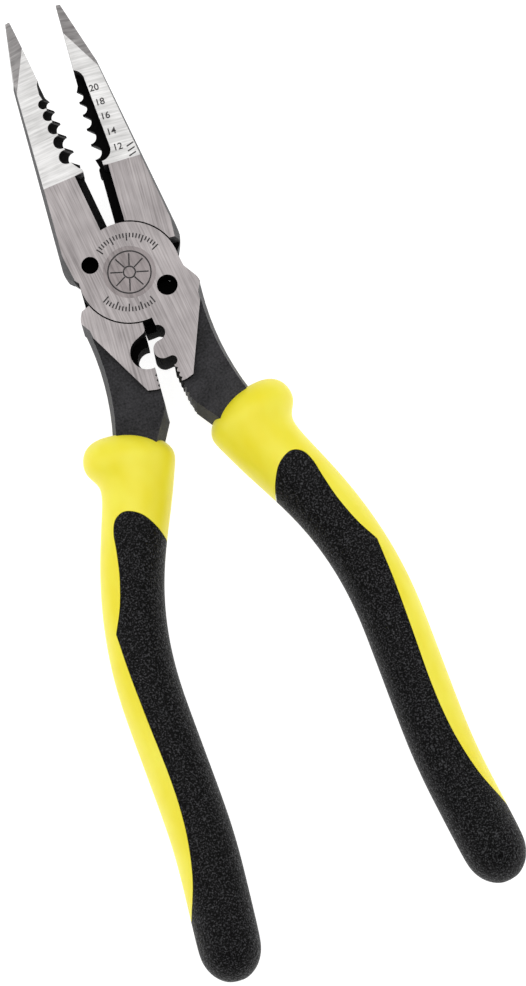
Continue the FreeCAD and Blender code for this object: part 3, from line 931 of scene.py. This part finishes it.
@dataclass
class TwoShotGrip:
    """A grip moulded in two shots: a hard yellow sleeve with a guard, and a soft black overmould.

    Attributes:
        pose: where its half stands.
        route: centre line of the handle.
        middle: level of the grip's centre line above the rear joint face.
        half_width: half the grip's width below the guard.
        half_depth: half its depth.
        swell: what the half width gains at the top, fading out over swell_run.
        swell_run: length over which it fades.
        cap: length of the rounded heel.
        pitch: spacing of the sections along the handle.
        guard_place: across, height and tilt of the guard's widest section.
        guard_half: its half width and half depth.
        guard_profile: the guard's sections: fall, shift, and shares of its width and depth.
        cap_parts: where the heel's sections lie, as shares of its length.
        wall: thickness of the soft shot.
        slit: width of the fine groove between the shots.
        seam: radius of the mould's parting line at the heel.
        sides: points round a section.
        outline: edge of the soft shot in plan, from the guard to the outer heel.
        kinks: points of the outline where it starts, turns sharply and ends.
        outline_steps: short steps between two points of the outline.
        far_side: the rest of the plan, clear of the grip.
        prism: bottom of the cutting shape, and its height.
    """

    pose: HalfPose
    route: HandleRoute = field(default_factory=HandleRoute)
    middle: float = 6.25
    half_width: float = 6.65
    half_depth: float = 7.5
    swell: float = 1.1
    swell_run: float = 36.0
    cap: float = 7.8
    pitch: float = 6.0
    guard_place: tuple[float, float, float] = (10.55, -38.0, 5.8)
    guard_half: Point = (9.9, 8.2)
    guard_profile: tuple[tuple[float, float, float, float], ...] = (
        (-5.6, 1.9, 0.35, 0.42), (-5.0, 1.6, 0.60, 0.62), (-3.6, 0.9, 0.83, 0.82),
        (-1.8, 0.3, 0.96, 0.95), (0.0, 0.0, 1.0, 1.0), (1.8, -0.1, 0.955, 0.98),
        (3.6, -0.8, 0.84, 0.94))
    cap_parts: tuple[float, ...] = (0.3, 0.55, 0.75, 0.9, 0.98)
    wall: float = 2.0
    slit: float = 0.12
    seam: float = 0.1
    sides: int = 28
    outline: tuple[Point, ...] = (
        (7.0, -57.6), (8.6, -53.9), (11.0, -50.8), (14.2, -49.3), (16.6, -50.3), (17.7, -53.0),
        (18.1, -57.0), (18.9, -62.5), (20.5, -68.5), (22.7, -73.6), (22.1, -83.0), (21.0, -94.0),
        (19.8, -105.0), (19.4, -113.0), (19.7, -120.0), (20.9, -127.5), (23.3, -134.8))
    kinks: tuple[int, ...] = (0, 9, 16)
    outline_steps: int = 6
    far_side: tuple[Point, ...] = ((32.0, -136.5), (32.0, -171.0), (-8.0, -171.0), (-8.0, -57.6))
    prism: Point = (-12.0, 40.0)

    def rings(self) -> list[Ring]:
        """Lay out the grip's sections.

        Returns:
            Oval sections from the guard's crown down to the rounded end.
        """
        found = []
        gx, gy, tilt = self.guard_place
        angle = math.radians(tilt)
        for fall, shift, width, depth in self.guard_profile:
            found.append(Ring(
                gx + fall * math.sin(angle) + shift * math.cos(angle),
                gy - fall * math.cos(angle) + shift * math.sin(angle),
                tilt, self.guard_half[0] * width, self.guard_half[1] * depth))
        length = self.route.length
        count = round((length - self.pitch) / self.pitch)
        for index in range(count + 1):
            distance = self.pitch + (length - self.pitch) * index / count
            swell = self.swell * max(1.0 - distance / self.swell_run, 0.0) ** 2
            found.append(Ring(*self.route.station(distance), self.half_width + swell,
                              self.half_depth))
        for part in self.cap_parts:
            scale = math.sqrt(1 - part**2)
            found.append(Ring(*self.route.station(length + self.cap * part),
                              self.half_width * scale, self.half_depth * scale))
        return found

    def bar(self) -> bpy.types.Object:
        """Extrude a circle from ring to ring into one smooth closed bar.

        Returns:
            The bar.
        """
        rings = self.rings()
        sign = self.pose.side.value
        centres = [self.pose.world(r.x, r.y, self.middle) for r in rings]
        first = rings[0]
        deselect()
        bpy.ops.mesh.primitive_circle_add(vertices=self.sides, radius=MM, fill_type="NGON",
                                          location=centres[0], rotation=(math.radians(90), 0, 0))
        piece = bpy.context.active_object
        bpy.ops.object.transform_apply(location=True, rotation=True, scale=True)
        bpy.ops.object.mode_set(mode="EDIT")
        bpy.ops.mesh.select_all(action="SELECT")
        bpy.ops.transform.resize(value=(first.half_width, 1.0, first.half_depth),
                                 center_override=centres[0])
        self.swing(first.heading * sign + self.pose.turn, centres[0])
        for index in range(1, len(rings)):
            before, after = rings[index - 1], rings[index]
            bpy.ops.mesh.extrude_region_move(
                TRANSFORM_OT_translate={"value": centres[index] - centres[index - 1]})
            self.swing((after.heading - before.heading) * sign, centres[index])
            wide = after.half_width / before.half_width
            deep = after.half_depth / before.half_depth
            bpy.ops.transform.resize(value=(wide, wide, deep), center_override=centres[index])
        bpy.ops.mesh.select_all(action="SELECT")
        bpy.ops.mesh.normals_make_consistent(inside=False)
        bpy.ops.object.mode_set(mode="OBJECT")
        apply_modifier(piece, "SUBSURF", levels=2, render_levels=2)
        return piece

    @staticmethod
    def swing(degrees: float, centre: Vector) -> None:
        """Turn what is selected about +Z; with no window the operator turns the other way."""
        bpy.ops.transform.rotate(value=-math.radians(degrees), orient_axis="Z",
                                 center_override=centre)

    def boundary(self, grow: float) -> list[Point]:
        """Smooth plan of the soft shot's edge, moved outwards by a small distance.

        Args:
            grow: distance in millimetres, positive towards the hard shot.

        Returns:
            Closed outline in the closed drawing.
        """
        smooth: list[Point] = []
        for first, last in zip(self.kinks, self.kinks[1:]):
            stretch = [Vector(p) for p in self.outline[first:last + 1]]
            ends = [2 * stretch[0] - stretch[1], *stretch, 2 * stretch[-1] - stretch[-2]]
            for a, b, c, d in zip(ends, ends[1:], ends[2:], ends[3:]):
                for step in range(self.outline_steps):
                    t = step / self.outline_steps
                    point = 0.5 * (2 * b + (c - a) * t + (2 * a - 5 * b + 4 * c - d) * t**2
                                   + (3 * b - a - 3 * c + d) * t**3)
                    smooth.append((point.x, point.y))
        smooth.append(self.outline[-1])
        moved = []
        for index, (x, y) in enumerate(smooth):
            before = smooth[max(index - 1, 0)]
            after = smooth[min(index + 1, len(smooth) - 1)]
            along = Vector((after[0] - before[0], after[1] - before[1])).normalized()
            moved.append((x - along.y * grow, y + along.x * grow))
        return [*moved, *self.far_side]

    def cutter(self, grow: float, core: bpy.types.Object) -> bpy.types.Object:
        """Upright prism over the soft shot's plan, hollowed by the core of the grip.

        Args:
            grow: how far its edge is moved towards the hard shot.
            core: what stays hard inside.

        Returns:
            The cutting shape.
        """
        plan = self.boundary(grow)
        bottom, height = self.prism
        deselect()
        bpy.ops.mesh.primitive_circle_add(vertices=len(plan), radius=MM, fill_type="NGON")
        piece = bpy.context.active_object
        for vertex, (x, y) in zip(piece.data.vertices, plan):
            vertex.co = self.pose.world(x, y, bottom)
        bpy.ops.object.mode_set(mode="EDIT")
        bpy.ops.mesh.select_all(action="SELECT")
        bpy.ops.mesh.extrude_region_move(TRANSFORM_OT_translate={"value": (0, 0, height * MM)})
        bpy.ops.mesh.select_all(action="SELECT")
        bpy.ops.mesh.normals_make_consistent(inside=False)
        bpy.ops.object.mode_set(mode="OBJECT")
        apply_modifier(piece, "BOOLEAN", operation="DIFFERENCE", object=core, solver="EXACT")
        return piece

    def finish(self, piece: bpy.types.Object, name: str, material: bpy.types.Material) -> None:
        """Smooth and dress one shot, and put it in place of its node.

        Args:
            piece: the shot.
            name: the node it stands for, which also names the piece.
            material: its finish.
        """
        pick(piece)
        bpy.ops.object.shade_smooth_by_angle(angle=SMOOTH_BELOW)
        settle(piece, f"{name}_skin", material)
        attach(piece, self.pose.side.body)
        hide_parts(name)
        log.info("%s: %d faces", piece.name, len(piece.data.polygons))

    def heel_seam(self, soft: bpy.types.Material) -> None:
        """Lay the fine parting line of the mould over the rounded end of the soft shot.

        Args:
            soft: finish of the overmould.
        """
        length = self.route.length
        # the line starts on the straight stretch before the heel
        parts = [-1.2, -0.8, -0.4, 0.0, *self.cap_parts]
        deselect()
        bpy.ops.curve.primitive_nurbs_path_add()
        piece = bpy.context.active_object
        spline = piece.data.splines[0]
        spline.points.add(len(parts) - len(spline.points))
        for point, part in zip(spline.points, parts):
            x, y, _ = self.route.station(length + self.cap * part)
            rise = self.half_depth * math.sqrt(1 - max(part, 0.0) ** 2)
            point.co = (*self.pose.world(x, y, self.middle + rise), 1.0)
        spline.use_endpoint_u = True
        piece.data.bevel_depth = self.seam * MM
        piece.data.bevel_resolution = 2
        bpy.ops.object.convert(target="MESH")
        piece = bpy.context.active_object
        bpy.ops.object.shade_smooth_by_angle(angle=SMOOTH_BELOW)
        settle(piece, f"{self.pose.side.word}_heel_seam", soft)
        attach(piece, self.pose.side.body)

    def build(self, hard: bpy.types.Material, soft: bpy.types.Material) -> None:
        """Make both shots of the grip.

        Args:
            hard: finish of the sleeve.
            soft: finish of the overmould.
        """
        sleeve = self.bar()
        core = copy_piece(sleeve)
        bpy.ops.object.mode_set(mode="EDIT")
        bpy.ops.mesh.select_all(action="SELECT")
        bpy.ops.transform.shrink_fatten(value=-self.wall * MM)
        bpy.ops.object.mode_set(mode="OBJECT")
        overmould = copy_piece(sleeve)
        wide = self.cutter(self.slit / 2, core)
        narrow = self.cutter(-self.slit / 2, core)
        apply_modifier(sleeve, "BOOLEAN", operation="DIFFERENCE", object=wide, solver="EXACT")
        apply_modifier(overmould, "BOOLEAN", operation="INTERSECT", object=narrow, solver="EXACT")
        for spare in (core, wide, narrow):
            bpy.data.objects.remove(spare)
        word = self.pose.side.word
        self.finish(sleeve, f"{word}_grip_sleeve", hard)
        self.finish(overmould, f"{word}_grip_overmould", soft)
        self.heel_seam(soft)


# ---------------------------------------------------------------- studio
@dataclass
class Studio:
    """Plain pale floor, soft light and the camera.

    Attributes:
        target: what the camera looks at, in millimetres.
        lean: turn of the picture about the view, in degrees.
        tilt: degrees that the camera stands away from straight above, towards the handles.
        azimuth: the compass direction it stands in, in degrees from -Y towards -X.
        distance: from the target, in millimetres.
        lens: focal length for a frame 36 mm high.
    """

    target: tuple[float, float, float] = (10.24, -53.11, 6.25)
    lean: float = 20.31
    tilt: float = 9.76
    azimuth: float = 14.42
    distance: float = 894.9
    lens: float = 155.45

    def camera(self) -> None:
        """Set the camera up."""
        look = Vector(self.target) * MM
        side = math.radians(self.azimuth)
        tilt = math.radians(self.tilt)
        away = Vector((-math.sin(side) * math.sin(tilt), -math.cos(side) * math.sin(tilt),
                       math.cos(tilt)))
        up = Vector((math.sin(math.radians(self.lean)), math.cos(math.radians(self.lean)), 0.0))
        right = up.cross(away).normalized()
        turn = Matrix((right, away.cross(right), away)).transposed()
        data = bpy.data.cameras.new("camera")
        data.lens = self.lens
        data.sensor_fit = "VERTICAL"
        data.sensor_height = 36.0
        data.clip_start = 0.01
        camera = bpy.data.objects.new("camera", data)
        bpy.context.scene.collection.objects.link(camera)
        camera.matrix_world = Matrix.Translation(look + away * self.distance * MM) @ turn.to_4x4()
        bpy.context.scene.camera = camera

    def light(self, name: str, place: tuple[float, float, float], size: float, power: float,
              aim: tuple[float, float, float] = (0.0, -0.045, 0.0)) -> None:
        """Hang one square softbox.

        Args:
            name: its name.
            place: where it hangs, in metres.
            size: its side, in metres.
            power: its power, in watts.
            aim: the point it faces.
        """
        data = bpy.data.lights.new(name, "AREA")
        data.shape = "SQUARE"
        data.size = size
        data.energy = power
        lamp = bpy.data.objects.new(name, data)
        bpy.context.scene.collection.objects.link(lamp)
        lamp.location = place
        lamp.rotation_euler = (Vector(aim) - Vector(place)).to_track_quat("-Z", "Y").to_euler()

    def floor(self) -> None:
        """Lay a wide pale floor that glows a little, as a lit table does."""
        deselect()
        bottom = CAD_BOX[0][2]
        bpy.ops.mesh.primitive_plane_add(size=6.0, location=(0, 0, bottom - 0.0003))
        floor = bpy.context.active_object
        material, tree, shader = new_material("lit_table")
        cloud = grain(tree, (400.0, 400.0, 400.0), 0.0, 1.0)
        colour = blend_colours(tree, cloud.outputs["Fac"], [(0.2, "#bcbcbc"), (0.8, "#c4c4c4")])
        tree.links.new(colour.outputs["Color"], shader.inputs["Base Color"])
        shader.inputs["Roughness"].default_value = 0.9
        shader.inputs["Emission Color"].default_value = linear("#ffffff")
        shader.inputs["Emission Strength"].default_value = 0.85
        settle(floor, "floor", material)

    def build(self) -> None:
        """Set up the whole studio."""
        scene = bpy.context.scene
        scene.view_settings.view_transform = "Standard"
        world = bpy.data.worlds.new("studio")
        world.use_nodes = True
        world.node_tree.nodes["Background"].inputs["Color"].default_value = linear("#fbfbfb")
        world.node_tree.nodes["Background"].inputs["Strength"].default_value = 0.45
        scene.world = world
        self.floor()
        self.camera()
        self.light("overhead_softbox", (0.0, 0.1, 0.9), 1.0, 4.4)
        self.light("left_softbox", (-0.8, 0.2, 0.5), 0.6, 1.2)
        self.light("right_softbox", (0.8, -0.1, 0.5), 0.6, 1.0)
        log.info("studio ready")


def main() -> None:
    """Dress the design model and build what it lacks."""
    logging.basicConfig(level=logging.INFO, format="%(name)s: %(message)s")
    right, left = HalfPose(Side.RIGHT), HalfPose(Side.LEFT)
    Studio().build()
    ForgedHalf(right, "front_half").dress()
    ForgedHalf(left, "rear_half").dress()
    PivotRivet().dress()
    JointMarks(right).build()
    GaugeMarks(left).build()
    hard = HardGripPlastic().material()
    soft = SoftGripRubber().material()
    for pose in (right, left):
        TwoShotGrip(pose).build(hard, soft)


if __name__ == "__main__":
    main()
